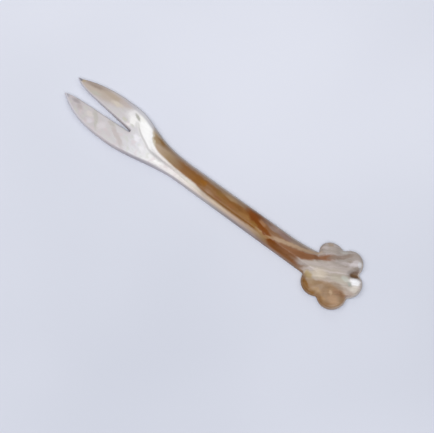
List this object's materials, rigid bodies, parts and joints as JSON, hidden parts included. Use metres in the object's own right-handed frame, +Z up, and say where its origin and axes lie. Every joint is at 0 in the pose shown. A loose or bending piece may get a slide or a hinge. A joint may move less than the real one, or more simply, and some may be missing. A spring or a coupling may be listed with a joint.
{
  "type": "caviar fork",
  "caption": "Slim two-tined caviar fork carved in one piece from pearly shell, with a flat forked head, a crowned handle and a five-petalled flower end.",
  "frame": {"origin": "middle of the fork's own box, on the flat back that it rests on", "axes": "+X along the fork towards its tines, +Y to the side of the bevelled long edge, +Z up out of the carved face"},
  "size_m": [0.11, 0.0198, 0.0033],
  "materials": {
    "nacre": "polished mother-of-pearl, silver-white at the head and brown along the handle"
  },
  "bodies": {
    "root": {"fork": "nacre"}
  },
  "joints": []
}
